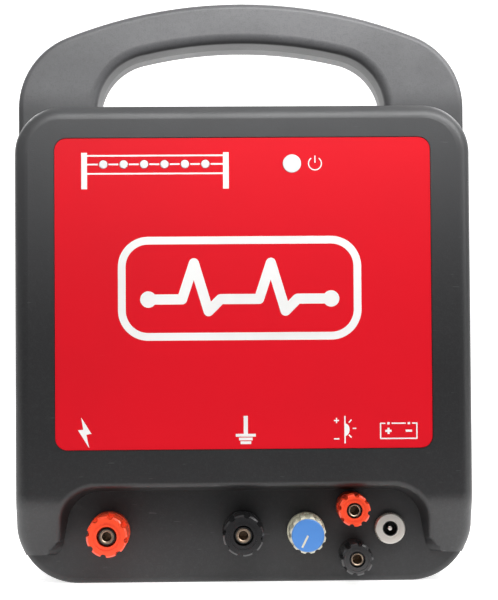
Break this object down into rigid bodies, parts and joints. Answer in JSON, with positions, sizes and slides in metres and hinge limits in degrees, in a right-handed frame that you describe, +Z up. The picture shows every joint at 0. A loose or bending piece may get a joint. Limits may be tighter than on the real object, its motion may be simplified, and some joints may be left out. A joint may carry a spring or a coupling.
{
  "type": "fence energizer",
  "caption": "Portable electric fence energizer: upright plastic case with an arched carrying handle, recessed screw terminals, a level knob, a power jack and a red front label.",
  "frame": {"origin": "middle of the base on the parting plane between the two shells", "axes": "+Z up through the handle, the front faces -Y, +X to the right seen from the front"},
  "size_m": [0.195, 0.084, 0.25],
  "materials": {
    "case": "satin, fine moulded grain",
    "seal": "matte",
    "steel_screw": "zinc plated",
    "label_red": "smooth satin film",
    "lens_white": "translucent white",
    "led_clear": "clear",
    "knob_cream": "satin",
    "knob_blue": "satin",
    "pot_steel": "pressed steel",
    "shaft_metal": "machined",
    "nickel": "nickel plated",
    "black_oxide": "black oxide on steel",
    "stud_brass": "nickel-plated brass",
    "black_insert": "semi-gloss",
    "board_green": "solder mask",
    "plug_white": "satin",
    "lamination": "varnished laminations",
    "winding": "taped winding",
    "strap_steel": "pressed steel",
    "capacitor_can": "sleeved can",
    "ferrite": "ferrite",
    "heatsink_alu": "extruded",
    "lead_red": "PVC",
    "lead_black": "PVC",
    "tinned": "tinned copper",
    "post_red": "smooth moulded",
    "post_black": "smooth moulded"
  },
  "bodies": {
    "case": {"board_screws": "steel_screw", "controller_chip": "black_insert", "dc_jack_core": "black_insert", "dc_jack_nut": "nickel", "dc_jack_pin": "nickel", "dc_jack_shell": "nickel", "display_board": "board_green", "earth_lead": "lead_black", "earth_post_collar": "post_black", "earth_post_stud": "stud_brass", "fence_lead": "lead_red", "fence_post_collar": "post_red", "fence_post_stud": "stud_brass", "flyback_transformer": "ferrite", "front_shell": "case", "heatsink": "heatsink_alu", "input_capacitor": "capacitor_can", "label": "label_red", "large_post_nuts": "nickel", "large_rear_bushes": "black_insert", "large_stop_rings": "black_oxide", "lead_plugs": "plug_white", "level_lamps": "lens_white", "main_board": "board_green", "pot_body": "pot_steel", "pot_nut": "nickel", "rear_shell": "case", "ring_tags": "tinned", "shell_gasket": "seal", "shell_screws": "steel_screw", "signal_leads": "lead_black", "small_post_nuts": "nickel", "small_rear_bushes": "black_insert", "small_stop_rings": "black_oxide", "solar_minus_post_collar": "post_black", "solar_minus_post_stud": "stud_brass", "solar_plus_post_collar": "post_red", "solar_plus_post_stud": "stud_brass", "status_led": "led_clear", "status_lens": "lens_white", "storage_capacitor": "capacitor_can", "supply_leads": "lead_black", "thyristor": "black_insert", "transformer_coil": "winding", "transformer_core": "lamination", "transformer_strap": "strap_steel"},
    "knob": {"knob_body": "knob_cream", "knob_cap": "knob_blue", "pot_shaft": "shaft_metal"},
    "fence_post_washer": {"fence_post_clamp_washer": "nickel"},
    "fence_post_cap": {"fence_post_cap": "post_red"},
    "earth_post_washer": {"earth_post_clamp_washer": "nickel"},
    "earth_post_cap": {"earth_post_cap": "post_black"},
    "solar_plus_post_washer": {"solar_plus_post_clamp_washer": "nickel"},
    "solar_plus_post_cap": {"solar_plus_post_cap": "post_red"},
    "solar_minus_post_washer": {"solar_minus_post_clamp_washer": "nickel"},
    "solar_minus_post_cap": {"solar_minus_post_cap": "post_black"}
  },
  "joints": [
    {"name": "level_knob", "type": "hinge", "parent": "case", "child": "knob", "pos_m": [0.026, -0.026, 0.0216], "axis": [0, 1, 0], "range_deg": [0, 300]},
    {"name": "fence_post_lift", "type": "slide", "parent": "case", "child": "fence_post_washer", "axis": [0, -1, 0], "range_m": [0, 0.004]},
    {"name": "fence_post_turn", "type": "hinge", "parent": "fence_post_washer", "child": "fence_post_cap", "pos_m": [-0.057, -0.032, 0.022], "axis": [0, -1, 0], "range_deg": [0, 1441]},
    {"name": "earth_post_lift", "type": "slide", "parent": "case", "child": "earth_post_washer", "axis": [0, -1, 0], "range_m": [0, 0.004]},
    {"name": "earth_post_turn", "type": "hinge", "parent": "earth_post_washer", "child": "earth_post_cap", "pos_m": [-0.0007, -0.032, 0.022], "axis": [0, -1, 0], "range_deg": [0, 1441]},
    {"name": "solar_plus_post_lift", "type": "slide", "parent": "case", "child": "solar_plus_post_washer", "axis": [0, -1, 0], "range_m": [0, 0.0032]},
    {"name": "solar_plus_post_turn", "type": "hinge", "parent": "solar_plus_post_washer", "child": "solar_plus_post_cap", "pos_m": [0.0452, -0.032, 0.0319], "axis": [0, -1, 0], "range_deg": [0, 1441]},
    {"name": "solar_minus_post_lift", "type": "slide", "parent": "case", "child": "solar_minus_post_washer", "axis": [0, -1, 0], "range_m": [0, 0.0032]},
    {"name": "solar_minus_post_turn", "type": "hinge", "parent": "solar_minus_post_washer", "child": "solar_minus_post_cap", "pos_m": [0.0462, -0.032, 0.0118], "axis": [0, -1, 0], "range_deg": [0, 1441]}
  ],
  "couplings": [
    {"joint": "fence_post_turn", "follows": "fence_post_lift", "rad_per_m": 6283.2},
    {"joint": "earth_post_turn", "follows": "earth_post_lift", "rad_per_m": 6283.2},
    {"joint": "solar_plus_post_turn", "follows": "solar_plus_post_lift", "rad_per_m": 7854},
    {"joint": "solar_minus_post_turn", "follows": "solar_minus_post_lift", "rad_per_m": 7854}
  ]
}
